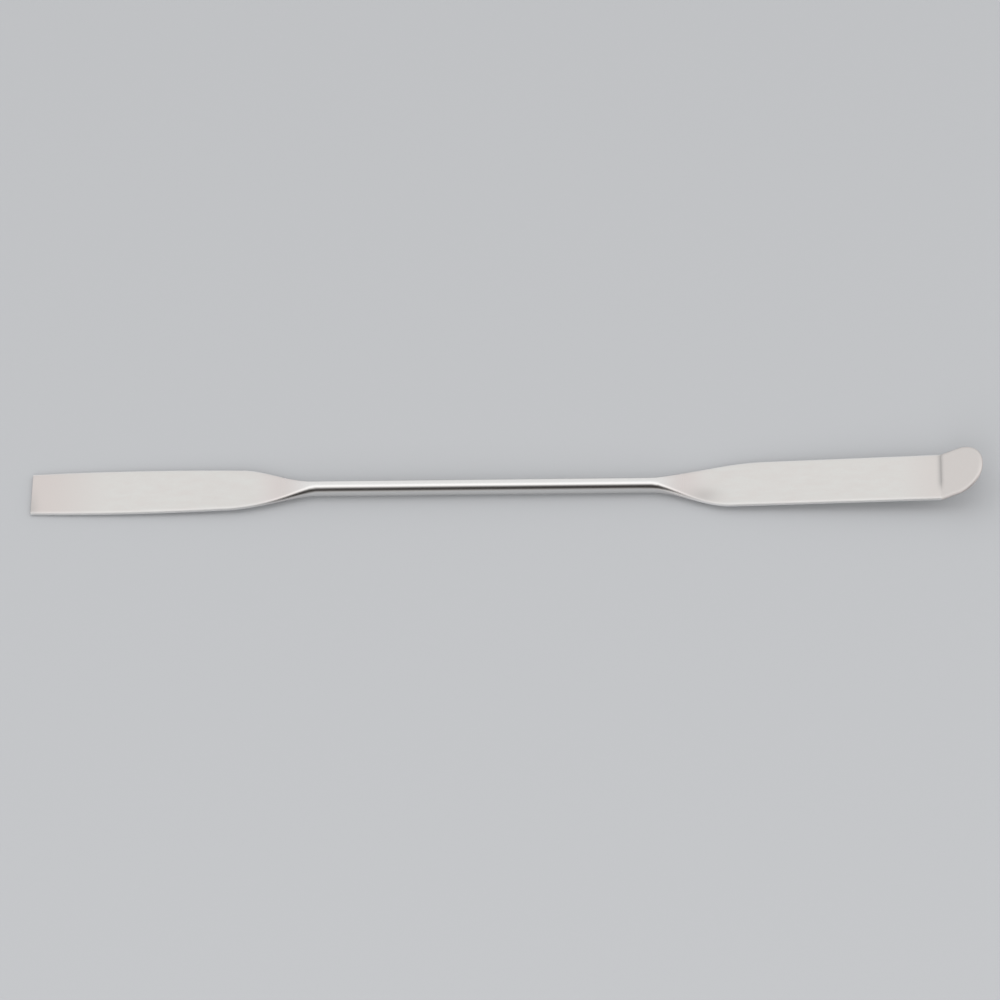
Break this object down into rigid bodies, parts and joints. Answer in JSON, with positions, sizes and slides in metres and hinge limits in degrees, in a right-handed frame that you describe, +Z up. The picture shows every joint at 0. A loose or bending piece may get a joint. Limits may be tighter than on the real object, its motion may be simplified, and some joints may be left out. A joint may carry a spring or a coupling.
{
  "type": "laboratory spatula",
  "caption": "Double-ended lab spatula: a round steel rod pressed into a flat square-cut blade at one end and a flat blade with a bent, rounded tip at the other.",
  "frame": {"origin": "middle of the footprint, on the surface that the spatula lies on", "axes": "+X along the rod towards the bent tip, +Y across the blades towards the back, +Z up"},
  "size_m": [0.185, 0.0106, 0.0082],
  "materials": {
    "steel": "satin"
  },
  "bodies": {
    "root": {"spatula": "steel"}
  },
  "joints": []
}
